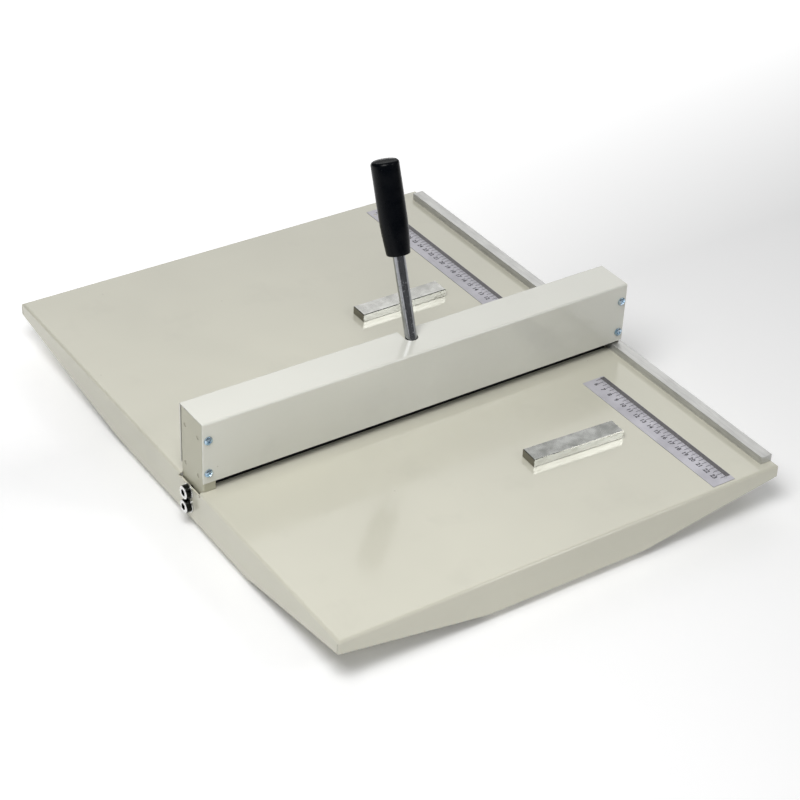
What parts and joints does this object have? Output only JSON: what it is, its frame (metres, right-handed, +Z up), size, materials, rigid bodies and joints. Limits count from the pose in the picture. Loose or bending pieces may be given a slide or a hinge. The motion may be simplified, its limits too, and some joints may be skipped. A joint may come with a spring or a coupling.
{
  "type": "manual paper creasing machine",
  "caption": "Bench creasing press for card: folded sheet table, lever-worked blade under a boxed beam, side fence, printed scales and loose magnetic paper stops.",
  "frame": {"origin": "on the bench, under the middle of the machine's overall box", "axes": "+X along the beam towards the side fence, +Y along the paper path towards the longer table, +Z up"},
  "size_m": [0.4828, 0.59, 0.2769],
  "materials": {
    "table_paint": "gloss",
    "cover_paint": "gloss",
    "fence_bar": "satin",
    "black_steel": "black oxide",
    "black_rubber": "matt",
    "zinc_screw": "bright zinc",
    "bright_bolt": "nickel plated",
    "plain_steel": "machined",
    "tool_steel": "ground",
    "bronze": "sintered",
    "chrome_rod": "polished",
    "black_grip": "satin gloss",
    "nickel_bar": "brushed nickel",
    "magnet": "nickel plated",
    "scale_plate": "printed satin"
  },
  "bodies": {
    "base": {"base_pan": "table_paint", "rubber_feet": "black_rubber", "foot_screws": "zinc_screw", "foot_nuts": "zinc_screw", "cross_channel": "plain_steel", "anvil_bar": "black_steel", "anvil_screws": "zinc_screw", "end_bracket_left": "cover_paint", "end_bracket_right": "cover_paint", "side_packers": "table_paint", "side_bolts": "bright_bolt", "side_washers": "bright_bolt", "beam_cover": "cover_paint", "cover_screws": "zinc_screw", "bearing_block_left": "plain_steel", "bearing_block_right": "plain_steel", "shaft_bushes": "bronze", "bearing_screws": "zinc_screw", "guide_block_left": "plain_steel", "guide_block_right": "plain_steel", "guide_screws": "zinc_screw", "guide_pins": "tool_steel", "guide_clips": "zinc_screw", "return_springs": "tool_steel", "side_fence": "fence_bar", "fence_screws": "zinc_screw", "ruler_front": "scale_plate", "ruler_rear": "scale_plate"},
    "lever": {"rocker_shaft": "plain_steel", "shaft_collars": "plain_steel", "collar_screws": "zinc_screw", "drive_pins": "tool_steel", "lever_hub": "plain_steel", "cam_left": "tool_steel", "cam_right": "tool_steel", "lever_rod": "chrome_rod", "lever_grip": "black_grip"},
    "press": {"press_bar": "plain_steel", "crease_blade": "tool_steel", "blade_clamp": "plain_steel", "clamp_screws": "zinc_screw", "wear_pads": "tool_steel", "pad_screws": "zinc_screw", "guide_bushes": "bronze"},
    "front_stop": {"front_stop": "nickel_bar", "front_stop_magnets": "magnet"},
    "rear_stop": {"rear_stop": "nickel_bar", "rear_stop_magnets": "magnet"}
  },
  "joints": [
    {"name": "lever_swing", "type": "hinge", "parent": "base", "child": "lever", "pos_m": [0, -0.0485, 0.099], "axis": [-1, 0, 0], "range_deg": [0, 52]},
    {"name": "blade_press", "type": "slide", "parent": "base", "child": "press", "axis": [0, 0, -1], "range_m": [0, 0.00727], "stiffness_N_per_m": 3000, "springref_m": -0.012, "deforming": ["return_springs"]},
    {"name": "front_stop_slide", "type": "slide", "parent": "base", "child": "front_stop", "axis": [0, 1, 0], "range_m": [-0.095, 0.09]},
    {"name": "rear_stop_slide", "type": "slide", "parent": "base", "child": "rear_stop", "axis": [0, 1, 0], "range_m": [-0.115, 0.165]}
  ],
  "couplings": [
    {"joint": "blade_press", "follows": "lever_swing", "m_per_rad": 0.008}
  ]
}
